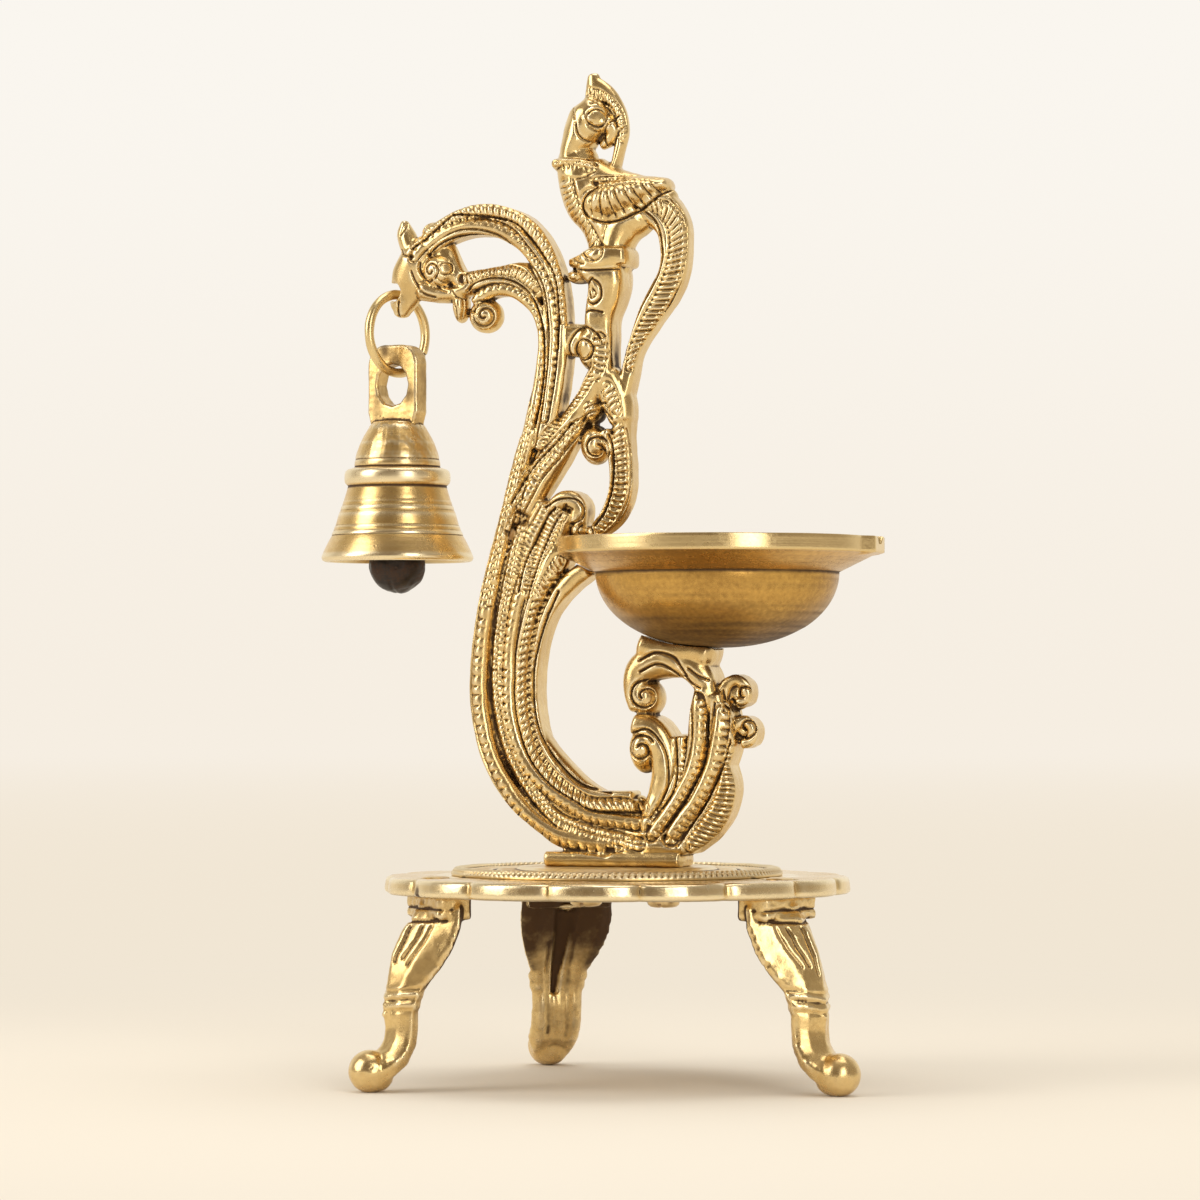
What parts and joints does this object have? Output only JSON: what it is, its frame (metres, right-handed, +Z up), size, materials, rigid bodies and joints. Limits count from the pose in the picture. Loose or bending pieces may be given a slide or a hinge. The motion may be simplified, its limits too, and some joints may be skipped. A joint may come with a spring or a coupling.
{
  "type": "brass oil lamp with hanging bell",
  "caption": "Brass oil lamp on a three-legged scalloped stand: openwork casting with a parrot, an oil bowl and a hand bell that swings from a beaked arch.",
  "frame": {"origin": "on the floor, below the middle of the outline as seen from above", "axes": "+Z up; the casting lies in a plane along X, with the bowl at +X and the bell at -X; -Y is the front"},
  "size_m": [0.145, 0.1186, 0.2502],
  "materials": {
    "plate_brass": "hammered and buffed",
    "disc_brass": "cast, patina in the low parts",
    "leg_brass": "cast and buffed",
    "casting_brass": "cast, high parts buffed, dark patina in the low parts",
    "bowl_brass": "turned and polished",
    "ring_brass": "drawn wire",
    "bell_brass": "turned, slightly dull",
    "clapper_iron": "rough, near black",
    "fastener_brass": "plain, worn"
  },
  "bodies": {
    "stand": {"base_plate": "plate_brass", "rosette_disc": "disc_brass", "leg_right": "leg_brass", "leg_back": "leg_brass", "leg_left": "leg_brass", "leg_rivet_right": "fastener_brass", "leg_rivet_back": "fastener_brass", "leg_rivet_left": "fastener_brass", "stem_screw_left": "fastener_brass", "stem_screw_right": "fastener_brass", "stem_washer_left": "fastener_brass", "stem_washer_right": "fastener_brass", "stem_casting": "casting_brass", "oil_bowl": "bowl_brass", "bowl_screw": "fastener_brass"},
    "ring": {"bell_ring": "ring_brass"},
    "bell": {"bell": "bell_brass"},
    "clapper": {"clapper_rod": "clapper_iron", "clapper_ball": "clapper_iron"}
  },
  "joints": [
    {"name": "ring_swing", "type": "hinge", "parent": "stand", "child": "ring", "pos_m": [-0.05339, -0.00197, 0.1966], "axis": [0.4384, 0.8988, 0], "range_deg": [-2, 40]},
    {"name": "bell_swing", "type": "hinge", "parent": "ring", "child": "bell", "pos_m": [-0.05339, -0.00197, 0.177], "axis": [0.4384, 0.8988, 0], "range_deg": [-3, 40]},
    {"name": "clapper_swing", "type": "hinge", "parent": "bell", "child": "clapper", "pos_m": [-0.05339, -0.00197, 0.1576], "axis": [0.4384, 0.8988, 0], "range_deg": [-16, 16]}
  ]
}
